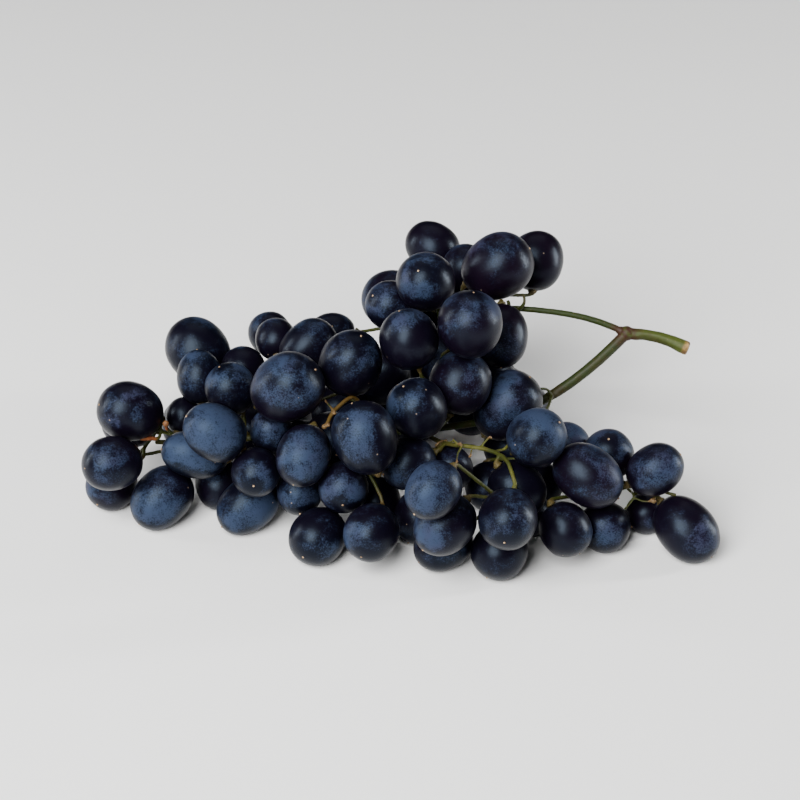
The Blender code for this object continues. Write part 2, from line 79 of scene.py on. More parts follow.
# The cover of bloom on a grape of middling bloom, and what adds to it or takes it off.
USUAL_COVER = 0.7
BLOOM_COVER, MOTTLE_COVER, GRAIN_COVER = 0.85, 1.1, 2.4
PATCH_COVER, PATCH_FADING = 3.7, -1.8   # patches stand out less on a thick bloom
TIP_FROM, TIP_TO, TIP_COVER = -0.86, -0.99, -0.45
# Painted shade: how much bloom the touch, underneath and turned-in masks take off.
RUB_AND_SHADE_COVER = {"touch": -0.75, "under": -0.8, "inward": -0.56}
COVER_NONE, COVER_FULL = 0.3, 1.1
# Painted rim light: bare skin on faces turned in is tinted plum.
INWARD_PLUM = 0.14
BARE_BLUE, BARE_PLUM = (0.001, 0.0016, 0.0045), (0.0062, 0.0015, 0.0056)
DUSTY_BLUE, DUSTY_PLUM = (0.0185, 0.029, 0.057), (0.0245, 0.0188, 0.041)
# Fine pale specks: their spacing as cells to a metre, how rare and how strong they are,
# where they fade out and are full (in cells), and their colour.
SPECK_SCALE, SPECK_RARITY, SPECK_STRENGTH = 300.0, 0.92, 0.6
SPECK_EDGE, SPECK_MIDDLE = 0.1, 0.05
SPECK = (0.3, 0.23, 0.17)
SKIN_ROUGHNESS, BLOOM_ROUGHNESS, GRAIN_ROUGHNESS = 0.32, 0.15, 0.12
SKIN_SHINE, SKIN_SHINE_TINT = 0.215, (0.58, 0.77, 1.0, 1)
MOTTLE_BUMP, SKIN_BUMP, SKIN_BUMP_DEPTH = 1.6, 0.12, 0.0004
SCAR_GRAIN, SCAR_DARK, SCAR_PALE = 2500, (0.15, 0.085, 0.04), (0.42, 0.29, 0.17)

# How thick the bloom lies on a grape (0 rubbed off, 1 thick), and how purple it is; the hidden
# grapes' thin bloom is painted shade.
SHADED_HIDDEN_BLOOM, USUAL_PURPLE = 0.3, 0.35
LOOKS = {
    "left_1": (0.18, 0.5), "left_2": (0.45, 0.7), "left_3": (0.5, 0.45),
    "left_4": (0.5, 0.6), "left_5": (0.75, 0.2), "left_6": (0.9, 0.1),
    "left_7": (0.85, 0.1), "left_8": (0.7, 0.1), "left_9": (0.6, 0.2),
    "left_10": (0.6, 0.15), "left_11": (0.65, 0.3), "left_12": (0.5, 0.4),
    "left_13": (0.3, 0.25), "left_14": (0.5, 0.2), "left_15": (0.25, 0.3),
    "shoulder_1": (0.4, 0.45), "shoulder_2": (0.3, 0.4), "shoulder_3": (0.5, 0.4),
    "shoulder_4": (0.35, 0.7), "shoulder_5": (0.55, 0.8), "shoulder_6": (0.6, 0.5),
    "shoulder_7": (0.2, 0.8), "shoulder_8": (0.5, 0.35), "shoulder_9": (0.7, 0.5),
    "shoulder_10": (0.65, 0.35), "shoulder_11": (0.5, 0.5), "shoulder_12": (0.5, 0.2),
    "shoulder_13": (0.35, 0.45), "middle_1": (0.5, 0.2), "middle_2": (0.65, 0.3),
    "middle_3": (0.6, 0.3), "middle_4": (0.5, 0.3), "middle_5": (0.95, 0.1),
    "middle_6": (0.6, 0.4), "middle_7": (0.65, 0.2), "middle_8": (0.7, 0.3),
    "middle_9": (0.5, 0.2), "middle_10": (0.5, 0.3), "middle_11": (0.55, 0.2),
    "front_1": (0.9, 0.15), "front_2": (0.6, 0.4), "front_3": (0.5, 0.3),
    "front_4": (0.6, 0.3), "front_5": (0.55, 0.3), "front_6": (0.2, 0.2),
    "front_7": (0.5, 0.4), "front_8": (0.5, 0.4), "front_9": (0.7, 0.6),
    "front_10": (1.0, 0.1), "front_11": (0.4, 0.9), "front_12": (0.45, 0.6),
    "right_1": (0.4, 0.5), "right_2": (0.4, 0.5), "right_3": (0.15, 0.6),
}

# The arms of the stem, each as points across, up and out on the slope, in millimetres.
STALK = [(103, 18.5, 3), (99.5, 21.5, 2), (94, 24.5, 1), (88, 25.3, 0), (81.5, 24, 0)]
SHOULDER_ARM = [(81.5, 24, 0), (77.5, 27.2, 0), (72, 29.3, 0), (64, 31, 0), (51, 32.5, -1),
                (37, 33.5, -2), (25, 34, -6), (14, 32, -8)]
MAIN_ARM = [(81.5, 24, 0), (77, 18.5, 0), (69.5, 11.5, 0), (61.5, 6, 0), (54, 0.5, -1),
            (46, -4, -2), (34, -8, -2), (20, -9, 2), (8, -11, 8), (-8, -12, 10),
            (-26, -10, 12), (-46, -12, 12), (-64, -16, 9), (-78, -16, 4), (-88, -15, 2)]
SIDE_ARM = [(8, -11, 8), (12, -14, 20), (14, -17.5, 28), (19, -14.5, 33), (25, -16, 34),
            (33, -16, 34), (36, -17.5, 36), (38.5, -21.5, 42), (40, -25, 48),
            (39, -28.5, 52)]
RIGHT_ARM = [(46, -4, -2), (54, -14, 2), (62, -22, 10), (72, -28, 14), (82, -30, 18)]
FORK = STALK[-1]

# Small twigs and dried stubs: points across, up and out, then the width at each end.
TWIGS = [
    ([(28, -16.3, 34), (30, -13.9, 34.5), (30.8, -13, 35)], 1.0, 0.8),
    ([(25.2, -16, 34), (24.6, -18, 35), (24.2, -19.2, 35.6)], 0.9, 0.7),
    ([(20, -15.4, 33), (18.6, -13.8, 34), (18.2, -12.6, 34.6)], 1.3, 0.5),
    ([(17.5, -14.6, 33), (14.5, -14, 34), (12.6, -15.4, 34.6)], 0.7, 0.5),
    ([(21.5, -15.8, 34), (20, -18.5, 36.5), (19.6, -21.5, 37.5)], 1.0, 0.9),
    ([(36, -17, 36), (37.6, -15.4, 38), (38.8, -14.4, 39)], 1.2, 1.3),
    ([(54.5, 1.5, 0), (52.8, 3.7, 4), (49.5, 4.0, 6), (45.5, 3.0, 4)], 1.2, 1.1),
    ([(54.5, 1.5, 0.5), (53.4, -1.2, 7), (51.8, -3.6, 13), (50.6, -4.6, 19)], 1.2, 1.4),
    ([(-13, -3, 26), (-16.5, 1.0, 33), (-22.7, -3.8, 38), (-25, -8.2, 41.5)], 1.7, 1.5),
    ([(-22.7, -3.8, 38), (-24.6, -1.6, 38.6), (-25.4, -0.6, 39)], 1.1, 0.8),
    ([(-85, -13.2, 18), (-88, -13.5, 20), (-91.3, -13.3, 21.5)], 1.0, 2.1),
    ([(-80, -12.5, 15), (-82, -10.5, 19), (-82.3, -8.8, 21)], 1.0, 1.4),
    ([(42.5, 32.4, -1), (44.2, 34, 1), (44.8, 36.3, 1.5), (44, 38.2, 1)], 1.3, 1.2),
    ([(38.5, 32.8, -1), (39.2, 34.4, 1), (38.6, 35.8, 1.5)], 1.3, 1.4),
    ([(80, -30, 20), (79.5, -31, 29), (81, -33.5, 34), (78, -38, 32)], 1.4, 0.9),
    ([(81, -33.8, 34), (84, -35, 34), (86.5, -35.2, 34)], 0.9, 0.8),
    ([(86.5, -35.2, 34), (90.6, -31.8, 33.6), (93, -32.3, 34.5), (95.6, -33, 35)], 0.8, 1.5),
]
# Corky warts: across, up, out and width, in millimetres.
WARTS = [
    (31.1, -12.8, 35.2, 1.2), (31.6, -13.1, 35.5, 0.9), (24.1, -19.6, 35.8, 1.2),
    (24.8, -19, 36.1, 0.8), (19.5, -22, 37.8, 1.4), (19.9, -21.2, 38.3, 0.9),
    (38.6, -21, 43, 1.4), (37.1, -21.4, 42.5, 1.0), (39.4, -22.6, 44, 1.0),
    (35.6, -19, 37.6, 0.8), (23, -15.6, 34.5, 1.0), (20.8, -15, 34.3, 1.1),
    (12.4, -15.6, 34.8, 1.0), (13.4, -14.8, 34.8, 0.9), (14.6, -14.2, 34.7, 1.0),
    (16, -13.8, 34.4, 0.9), (18.3, -12.4, 34.8, 0.8), (-82.3, -8.3, 21.4, 2.5),
    (-25.6, -0.3, 39.2, 1.4), (-22.4, -4.6, 39, 1.2), (-26, -9.2, 42, 2.1),
    (-24.4, -8.6, 42.4, 1.4), (88, -35, 34.4, 2.0), (87, -34.6, 34.6, 1.4),
]
# Where dried stubs have turned pink, and the lateral that has turned tan.
BLUSHED = [(-88, -13.5, 20), (-91, -13.3, 21.5), (-82.3, -8.8, 21)]
TAN_LATERAL = TWIGS[8][0]
# In millimetres, what rounding takes off the arms, put back, and what is taken off the fork.
SWELL = {"stalk": 0.5, "main arm": 0.42, "shoulder arm": 0.16, "fork": 0.22}
ARM_STEP, MARK_STEP = 3.0, 1.5          # between points on the arms, in millimetres
TUCK = 0.4                              # how far stalk ends are turned into the heap
SEAT_LOWEST = 0.003                     # grapes pressed on their stalk end show no collar
SEAT_FLARE, SEAT_HEIGHT = 3.5, 1.9      # the collar that holds a grape, in millimetres
SEAT_SINK = 0.6                         # how far a collar sinks into its grape
STEM_VOXEL = 0.43                       # how finely the stem is drawn
ROUNDING, ROUNDS = 0.5, 3               # how strongly, and how often, it is smoothed
ROOT_REACH = 0.4                        # twigs further than this from the wood get a root

# The stem's marks: full within the first distance from their places, gone past the second.
MARK_REACH = {
    "cork": (0.7, 1.6), "collar": (1.6, 2.9), "fork": (2.2, 8), "blush": (1.5, 3.2),
    "tan": (1.6, 3), "cut": (2.0, 2.7), "old": (2.4, 4), "ball": (0.8, 3.1), "dark": (2.0, 4),
    "stalk": (2.6, 4), "fresh": (2.2, 4.5), "open": (30, 44),
}
COLLAR_CORK = 0.4

# The bark's noises: scale, detail, roughness and, for one, distortion.
BARK_STREAKS = (420, 4, 0.6, 0.4)
BARK_BLOTCHES = (150, 3, 0.55)
BARK_GRAIN = (2200, 3, 0.7)
DOT_SCALE, DOT_EDGE, DOT_MIDDLE, DOT_STRENGTH = 700.0, 0.16, 0.08, 0.6
RUSSET_FROM, RUSSET_TO, RUSSET_STRENGTH = 0.48, 0.68, 0.45
TAN_STRENGTH, PINK_STRENGTH = 0.8, 0.85
# Where in a noise these set in, and where they are full.
FORK_STREAKS, CORK_STREAKS, CORKY_GRAIN, CUT_STREAKS = (
    (0.3, 0.55), (0.2, 0.5), (0.35, 0.65), (0.35, 0.65))
BARK_ROUGHNESS, ROUGHER_GRAIN = 0.4, 0.25
STREAK_BUMP, BARK_BUMP, BARK_BUMP_DEPTH = 2.0, 0.35, 0.0003
# Bark colours, each between its darkest and its lightest streaks.
# Stalks off the named arms, deep in the heap, are painted dark as shade.
DEEP_SHADE_BARK = (0.012, 0.018, 0.002), (0.045, 0.05, 0.006)
ARM_BARK = {
    "fresh": ((0.028, 0.038, 0.005), (0.11, 0.105, 0.018)),
    "old": ((0.006, 0.0105, 0.0014), (0.03, 0.042, 0.0055)),
    "dark": ((0.006, 0.013, 0.0003), (0.022, 0.036, 0.0008)),
    "stalk": ((0.018, 0.03, 0.0028), (0.068, 0.086, 0.0105)),
}
TAN_BARK = (0.03, 0.015, 0.003), (0.13, 0.07, 0.014)
PINK_BARK = (0.1, 0.012, 0.008), (0.3, 0.1, 0.03)
CORKY = (0.04, 0.02, 0.008), (0.2, 0.12, 0.05)
CUT_WOOD = (0.08, 0.04, 0.013), (0.32, 0.2, 0.065)
RUSSET, FORK_BROWN, DOT_BROWN = (0.035, 0.016, 0.004), (0.03, 0.009, 0.004), (0.12, 0.07, 0.03)

# The hidden grapes of each clump: across, depth and height, length and width, in millimetres.
CLUMPS = {
    "back_left_grapes": [(-79, 66, 10, 22, 20), (-62, 80, 10, 23, 21), (-42, 87, 10, 22, 20),
                         (-54, 60, 12, 22, 21), (-72, 46, 9, 20, 19), (-78, 49, 24, 14, 13)],
    "back_middle_grapes": [(-36, 42, 14, 22, 20), (-22, 58, 20, 23, 21), (-22, 80, 16, 22, 20),
                           (-6, 70, 28, 22, 20), (-44, 46, 34, 19, 18), (-40, 70, 30, 20, 19),
                           (-57, 60, 37, 16.5, 16), (-45, 72, 42, 15.5, 15)],
    "back_shoulder_grapes": [(-3, 90, 10, 23, 21), (12, 98, 40, 23, 21),
                             (17, 97, 17, 22, 20), (32, 84, 38, 22, 21)],
    "inner_grapes": [(38, 88, 10, 23, 21), (26, 70, 14, 22, 20), (45, 66, 16, 22, 20),
                     (40, 52, 10, 20, 19), (4, 70, 10, 20, 19), (32, 62, 34, 22, 20),
                     (16, 54, 46, 21, 20), (8, 54, 25, 22, 21), (4, 34, 37, 19, 18)],
    "under_grapes": [(-16, 34, 12, 20, 19), (-24, 24, 29, 21, 20), (-9, 15, 9, 19, 18),
                     (6, 6, 10, 19, 17), (18, 18, 22, 16, 15), (32, 25, 10, 18, 17.5),
                     (45, 9, 9, 17, 16)],
}
# Small grapes seen only through gaps, with no solid of their own, given the same way.
FILLERS = [(71, 26, 11, 18, 17.5), (50, 27, 9, 17, 16)]
CLUMP_START = np.array((0.9, -39.9, 0.0))   # where those depths are counted from


def slope_axes():
    """The directions across, up and out of the heap's face."""
    up = np.array((0.0, math.sin(FACE_TILT), math.cos(FACE_TILT)))
    out = np.array((0.0, -math.cos(FACE_TILT), math.sin(FACE_TILT)))
    return np.array((1.0, 0.0, 0.0)), up, out


def on_slope(across, up, out):
    """A place on the heap's face, in metres, from millimetres across, up and out."""
    parts = zip((across, up, out), slope_axes())
    return (FACE_MIDDLE + sum(part * axis for part, axis in parts)) * MM


def smooth_line(points, step=0.8):
    """Points along a smooth line through the given ones."""
    points = [np.array(p, dtype=float) for p in points]
    ends = [2 * points[0] - points[1]] + points + [2 * points[-1] - points[-2]]
    line = []
    for a, b, c, d in zip(ends, ends[1:], ends[2:], ends[3:]):
        count = max(1, round(np.linalg.norm(c - b) / step))
        for t in np.arange(count) / count:
            line.append(0.5 * (2 * b + (c - a) * t + (2 * a - 5 * b + 4 * c - d) * t ** 2
                               + (3 * b - a - 3 * c + d) * t ** 3))
    line.append(points[-1])
    return np.array(line)


# ---------------------------------------------------------------- the grapes' places

def node_points(node):
    """The corners of a CAD node's mesh, each once."""
    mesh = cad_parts[node].data
    points = np.zeros(len(mesh.vertices) * 3)
    mesh.vertices.foreach_get("co", points)
    return np.unique(np.round(points.reshape(-1, 3), 7), axis=0)


def fit_grape(points):
    """The middle, long axis, length and width of the egg-round body through points."""
    origin = points.mean(axis=0)
    scale = np.abs(points - origin).max()
    x, y, z = ((points - origin) / scale).T
    terms = np.stack([x * x, y * y, z * z, 2 * x * y, 2 * x * z, 2 * y * z,
                      2 * x, 2 * y, 2 * z], axis=1)
    a, b, c, d, e, f, g, h, i = np.linalg.lstsq(terms, np.ones(len(x)), rcond=None)[0]
    form = np.array([[a, d, e], [d, b, f], [e, f, c]])
    line = np.array([g, h, i])
    middle = -np.linalg.solve(form, line)
    form = form / (1 + middle @ form @ middle)
    values, axes = np.linalg.eigh(form)
    halves = 1 / np.sqrt(np.maximum(values, 1e-9)) * scale
    return origin + middle * scale, axes[:, 0], 2 * halves[0], halves[1] + halves[2]


def clump_grape(points, start, length, width):
    """The middle of one grape of a clump, from roughly where it lies."""
    middle = start
    for reach in CLUMP_REACHES:
        away = np.linalg.norm(points - middle, axis=1)
        near = points[(away < reach * length / 2) & (away > width / 2 / reach)]
        terms = np.concatenate([2 * near, np.ones((len(near), 1))], axis=1)
        middle = np.linalg.lstsq(terms, (near ** 2).sum(axis=1), rcond=None)[0][:3]
    return middle


def arm_points():
    """Points along every arm of the stem that carries grapes."""
    arms = (MAIN_ARM, SHOULDER_ARM, SIDE_ARM, RIGHT_ARM)
    return np.concatenate([[on_slope(*p) for p in smooth_line(arm, ARM_STEP)][2:] for arm in arms])


def towards_arm(place, arms):
    """The way from a grape to the nearest part of the stem's arms."""
    nearest = arms[np.argmin(np.linalg.norm(arms - place, axis=1))]
    return (nearest - place) / np.linalg.norm(nearest - place)


def hidden_grape(middle, way, length, width):
    """A grape of a clump or a filler, from its size in millimetres, with thin bloom as painted
    shade.
    """
    return {"middle": middle, "axis": way, "length": length * MM, "width": width * MM,
            "bloom": SHADED_HIDDEN_BLOOM, "purple": USUAL_PURPLE}


def list_grapes(arms):
    """Every piece made of grapes: its name, its CAD node and its grapes' sizes and places."""
    _, _, out = slope_axes()
    pieces = []
    for name, (bloom, purple) in LOOKS.items():
        node = name + "_grape"
        points = node_points(node)
        middle, axis, length, width = fit_grape(points[points[:, 2] > ABOVE_TABLE])
        if axis @ (towards_arm(middle, arms) - TUCK * out) < 0:
            axis = -axis
        grape = {"middle": middle, "axis": axis, "length": length, "width": width,
                 "bloom": bloom, "purple": purple}
        pieces.append((name + "_fine", node, [grape]))
    for clump, members in CLUMPS.items():
        points = node_points(clump)
        points = points[points[:, 2] > ABOVE_TABLE]
        grapes = []
        for x, y, z, length, width in members:
            start = (np.array((x, y, z)) + CLUMP_START) * MM
            middle = clump_grape(points, start, length * MM, width * MM)
            grapes.append(hidden_grape(middle, towards_arm(start, arms), length, width))
        pieces.append((clump + "_fine", clump, grapes))
    fillers = []
    for x, y, z, length, width in FILLERS:
        middle = (np.array((x, y, z)) + CLUMP_START) * MM
        fillers.append(hidden_grape(middle, towards_arm(middle, arms), length, width))
    pieces.append(("filler_fine", None, fillers))
    return pieces


# ---------------------------------------------------------------- node trees

def add(tree, kind, settings=None, **inputs):
    """A node of a tree, with its settings and its inputs' values or links."""
    item = tree.nodes.new(kind)
    for name, value in (settings or {}).items():
        setattr(item, name, value)
    for name, value in inputs.items():
        key = int(name[1:]) if name[0] == "_" and name[1:].isdigit() else name.replace("_", " ")
        socket = item.inputs[key]
        if isinstance(value, bpy.types.NodeSocket):
            tree.links.new(value, socket)
        else:
            socket.default_value = value
    return item


def sums(tree, operation, *values):
    """A Math node's result."""
    item = add(tree, "ShaderNodeMath", {"operation": operation},
               **{f"_{k}": value for k, value in enumerate(values)})
    return item.outputs[0]


def vector_sums(tree, operation, *values, **named):
    """A Vector Math node's result."""
    item = add(tree, "ShaderNodeVectorMath", {"operation": operation},
               **{f"_{k}": value for k, value in enumerate(values)}, **named)
    return item.outputs["Value" if operation in ("LENGTH", "DOT_PRODUCT") else "Vector"]


def stored(tree, name, kind="FLOAT"):
    """A value kept on the points of a geometry, inside a Geometry Nodes tree."""
    item = add(tree, "GeometryNodeInputNamedAttribute", {"data_type": kind}, Name=name)
    return item.outputs["Attribute"]


def geometry_tree(name, settings):
    """A Geometry Nodes tree with named settings, and what it is given."""
    tree = bpy.data.node_groups.new(name, "GeometryNodeTree")
    face = tree.interface
    face.new_socket("Geometry", in_out="INPUT", socket_type="NodeSocketGeometry")
    for key, (kind, value) in settings.items():
        socket = face.new_socket(key, in_out="INPUT", socket_type="NodeSocket" + kind)
        if value is not None:
            socket.default_value = value
    face.new_socket("Geometry", in_out="OUTPUT", socket_type="NodeSocketGeometry")
    return tree, tree.nodes.new("NodeGroupInput").outputs


def grape_tree():
    """Geometry Nodes that grow one grape on each point, from the sizes kept on the points."""
    tree, given = geometry_tree("grapes on their stalks", {
        "Sides": ("Int", GRAPE_SIDES), "Rings": ("Int", GRAPE_RINGS),
        "Bluntness": ("Float", 0.06), "Fuller Tip": ("Float", 0.03),
        "Stalk Dimple": ("Float", 0.03), "Dimple Reach": ("Float", 0.22),
        "Unevenness": ("Float", 0.9 * MM), "Unevenness Size": ("Float", 14 * MM),
        "Scar Width": ("Float", 0.8 * MM), "Scar Height": ("Float", 0.7),
        "Skin": ("Material", None), "Scar": ("Material", None)})

    # One grape, a unit across, with its stalk end up.
    ball = add(tree, "GeometryNodeMeshUVSphere", Segments=given["Sides"], Rings=given["Rings"],
               Radius=0.5).outputs["Mesh"]
    place = tree.nodes.new("GeometryNodeInputPosition").outputs[0]
    parts = add(tree, "ShaderNodeSeparateXYZ", Vector=place).outputs
    height = sums(tree, "MULTIPLY", parts["Z"], 2.0)
    marked = add(tree, "GeometryNodeStoreNamedAttribute", Geometry=ball, Name="along",
                 Value=height).outputs["Geometry"]
    square = sums(tree, "MULTIPLY", height, height)
    swell = sums(tree, "MULTIPLY_ADD", square, given["Bluntness"], 1.0)
    swell = sums(tree, "SUBTRACT", swell, sums(tree, "MULTIPLY", height, given["Fuller Tip"]))
    across = sums(tree, "SQRT", sums(tree, "SUBTRACT", 1.0, square))
    dent = sums(tree, "EXPONENT", sums(tree, "MULTIPLY", sums(tree, "POWER", sums(
        tree, "DIVIDE", across, given["Dimple Reach"]), 2.0), -1.0))
    dent = sums(tree, "MULTIPLY", dent, given["Stalk Dimple"])
    dent = sums(tree, "MULTIPLY", dent, sums(tree, "GREATER_THAN", height, 0.0))
    formed = add(tree, "ShaderNodeCombineXYZ", X=sums(tree, "MULTIPLY", parts["X"], swell),
                 Y=sums(tree, "MULTIPLY", parts["Y"], swell),
                 Z=sums(tree, "SUBTRACT", parts["Z"], dent)).outputs[0]
    berry = add(tree, "GeometryNodeSetPosition", Geometry=marked, Position=formed).outputs[0]

    # Every grape, turned along its axis.
    width = stored(tree, "width")
    length = stored(tree, "length")
    axis = stored(tree, "axis", "FLOAT_VECTOR")
    turn = add(tree, "FunctionNodeAlignRotationToVector", {"axis": "Z"}, Vector=axis).outputs[0]
    size = add(tree, "ShaderNodeCombineXYZ", X=width, Y=width, Z=length).outputs[0]
    berries = add(tree, "GeometryNodeInstanceOnPoints", Points=given["Geometry"], Instance=berry,
                  Rotation=turn, Scale=size).outputs[0]
    berries = add(tree, "GeometryNodeRealizeInstances", Geometry=berries).outputs[0]
    spot = vector_sums(tree, "DIVIDE", place, add(
        tree, "ShaderNodeCombineXYZ", X=given["Unevenness Size"], Y=given["Unevenness Size"],
        Z=given["Unevenness Size"]).outputs[0])
    lumps = add(tree, "ShaderNodeTexNoise", Vector=spot, Scale=1.0, Detail=1.0).outputs["Fac"]
    lumps = sums(tree, "MULTIPLY", sums(tree, "SUBTRACT", lumps, 0.5), given["Unevenness"])
    normal = tree.nodes.new("GeometryNodeInputNormal").outputs[0]
    berries = add(tree, "GeometryNodeSetPosition", Geometry=berries, Offset=vector_sums(
        tree, "SCALE", normal, Scale=lumps)).outputs[0]

    # The small dry scar at every tip.
    tip = vector_sums(tree, "SCALE", axis, Scale=sums(tree, "MULTIPLY", length, -0.5))
    tips = add(tree, "GeometryNodeSetPosition", Geometry=given["Geometry"], Offset=tip).outputs[0]
    button = add(tree, "GeometryNodeMeshUVSphere", Segments=10, Rings=6, Radius=0.5).outputs["Mesh"]
    button = add(tree, "GeometryNodeStoreNamedAttribute", Geometry=button, Name="scar",
                 Value=1.0).outputs["Geometry"]
    flat = add(tree, "ShaderNodeCombineXYZ", X=given["Scar Width"], Y=given["Scar Width"],
               Z=sums(tree, "MULTIPLY", given["Scar Width"], given["Scar Height"])).outputs[0]
    scars = add(tree, "GeometryNodeInstanceOnPoints", Points=tips, Instance=button,
                Rotation=turn, Scale=flat).outputs[0]
    both = tree.nodes.new("GeometryNodeJoinGeometry")
    tree.links.new(scars, both.inputs[0])
    tree.links.new(berries, both.inputs[0])

    # Pressed flat on the table.
    whole = add(tree, "GeometryNodeRealizeInstances", Geometry=both.outputs[0]).outputs[0]
    parts = add(tree, "ShaderNodeSeparateXYZ", Vector=place).outputs
    pressed = add(tree, "ShaderNodeCombineXYZ", X=parts["X"], Y=parts["Y"],
                  Z=sums(tree, "MAXIMUM", parts["Z"], 0.0)).outputs[0]
    whole = add(tree, "GeometryNodeSetPosition", Geometry=whole, Position=pressed).outputs[0]
    whole = add(tree, "GeometryNodeSetShadeSmooth", Geometry=whole).outputs[0]
    whole = add(tree, "GeometryNodeSetMaterial", Geometry=whole,
                Material=given["Skin"]).outputs[0]
    whole = add(tree, "GeometryNodeSetMaterial", Geometry=whole, Material=given["Scar"],
                Selection=sums(tree, "GREATER_THAN", stored(tree, "scar"), 0.5)).outputs[0]
    tree.links.new(whole, tree.nodes.new("NodeGroupOutput").inputs[0])
    return tree


def keep(mesh, name, values):
    """Keeps a number on each point of a mesh."""
    layer = mesh.attributes.new(name, "FLOAT", "POINT")
    layer.data.foreach_set("value", values)


def points_with_axes(name, places, axes):
    """A mesh of bare points, each with its axis kept on it."""
    mesh = bpy.data.meshes.new(name)
    mesh.from_pydata(places, [], [])
    layer = mesh.attributes.new("axis", "FLOAT_VECTOR", "POINT")
    layer.data.foreach_set("vector", np.concatenate(axes))
    return mesh


def places_and_normals(mesh):
    """Where each point of a mesh is, and which way it faces."""
    read = []
    for key in ("co", "normal"):
        values = np.zeros(len(mesh.vertices) * 3)
        mesh.vertices.foreach_get(key, values)
        read.append(values.reshape(-1, 3))
    return read


def grow(name, mesh, tree, settings):
    """The plain mesh that a tree makes from a mesh, with some of its settings changed."""
    item = bpy.data.objects.new(name, mesh)
    bpy.context.scene.collection.objects.link(item)
    growth = item.modifiers.new("growth", "NODES")
    growth.node_group = tree
    sockets = {s.name: s.identifier for s in tree.interface.items_tree
               if s.item_type == "SOCKET" and s.in_out == "INPUT"}
    for key, value in settings.items():
        growth[sockets[key]] = value
    make_plain(item)
    item.data.name = name
    return item


def make_plain(item):
    """Turns an object and its modifiers into one plain mesh."""
    graph = bpy.context.evaluated_depsgraph_get()
    made = bpy.data.meshes.new_from_object(item.evaluated_get(graph))
    item.modifiers.clear()
    item.data = made


def grow_grapes(name, grapes, tree, skin, scar, seed):
    """One piece: its grapes as one plain mesh, grown by the tree."""
    mesh = points_with_axes(name, [grape["middle"] for grape in grapes],
                            [grape["axis"] for grape in grapes])
    for key in ("length", "width", "bloom", "purple"):
        keep(mesh, key, [grape[key] for grape in grapes])
    keep(mesh, "seed", [seed + GRAPE_STEP * k for k in range(len(grapes))])
    return grow(name, mesh, tree, {"Skin": skin, "Scar": scar,
                                   "Fuller Tip": TIP_CHANGE * math.sin(TIP_TURN * seed)})


def soft_step(values, none, full):
    """0 at none, 1 at full, smooth between."""
    share = np.clip((values - none) / (full - none), 0, 1)
    return share * share * (3 - 2 * share)


def mark_rub_and_shade(piece, own, everything, arms):
    """Keeps, on a grape piece, masks for painted shade: where neighbours touch it (where they also
    rub its bloom) and where it faces down or inwards.
    """
    points, normals = places_and_normals(piece.data)
    gap = np.full(len(points), 1.0)
    for other in everything:
        if any(other is grape for grape in own):
            continue
        half_length, half_width = other["length"] / 2, other["width"] / 2
        away = points - other["middle"]
        if np.linalg.norm(away, axis=1).min() > half_length + TOUCH_FAR * MM:
            continue
        along = away @ other["axis"]
        across = np.linalg.norm(away - along[:, None] * other["axis"], axis=1)
        depth = np.sqrt((along / half_length) ** 2 + (across / half_width) ** 2)
        gap = np.minimum(gap, (depth - 1) * half_width)
    # Painted shade masks: where neighbours touch (where bloom is also rubbed), faces turned down,
    # faces turned in.
    touch = soft_step(gap, TOUCH_FAR * MM, TOUCH_NEAR * MM)
    under = soft_step(normals[:, 2], UNDER_FROM, UNDER_TO)
    middles = np.array([grape["middle"] for grape in own])
    ways = np.array([-towards_arm(middle, arms) for middle in middles])
    nearest = np.argmin(np.linalg.norm(points[:, None] - middles, axis=2), axis=1)
    inward = soft_step((normals * ways[nearest]).sum(axis=1), INWARD_FROM, INWARD_TO)
    for name, values in (("touch", touch), ("under", under), ("inward", inward)):
        keep(piece.data, name, values.astype(np.float32))


# ---------------------------------------------------------------- finishes

def material(name):
    """A new material, its tree and its shader."""
    finish = bpy.data.materials.new(name)
    finish.use_nodes = True
    return finish, finish.node_tree, finish.node_tree.nodes["Principled BSDF"]


def noise_at(tree, place, scale, detail=3.0, roughness=0.5, distortion=0.0):
    """A noise value, about 0.5 in the middle."""
    return add(tree, "ShaderNodeTexNoise", Vector=place, Scale=scale, Detail=detail,
               Roughness=roughness, Distortion=distortion).outputs["Fac"]


def kept(tree, name):
    """A value kept on the mesh, inside a material."""
    return add(tree, "ShaderNodeAttribute", {"attribute_name": name}).outputs["Fac"]


def spread(tree, value, low, high):
    """The value's place between low and high, smoothly, from 0 to 1."""
    return add(tree, "ShaderNodeMapRange", {"interpolation_type": "SMOOTHSTEP"}, Value=value,
               From_Min=low, From_Max=high).outputs[0]


def blended(tree, share, first, second):
    """Two colours mixed by a share."""
    item = add(tree, "ShaderNodeMix", {"data_type": "RGBA"}, _0=share)
    for socket, value in ((item.inputs[6], first), (item.inputs[7], second)):
        if isinstance(value, bpy.types.NodeSocket):
            tree.links.new(value, socket)
        else:
            socket.default_value = (*value, 1)
    return item.outputs[2]


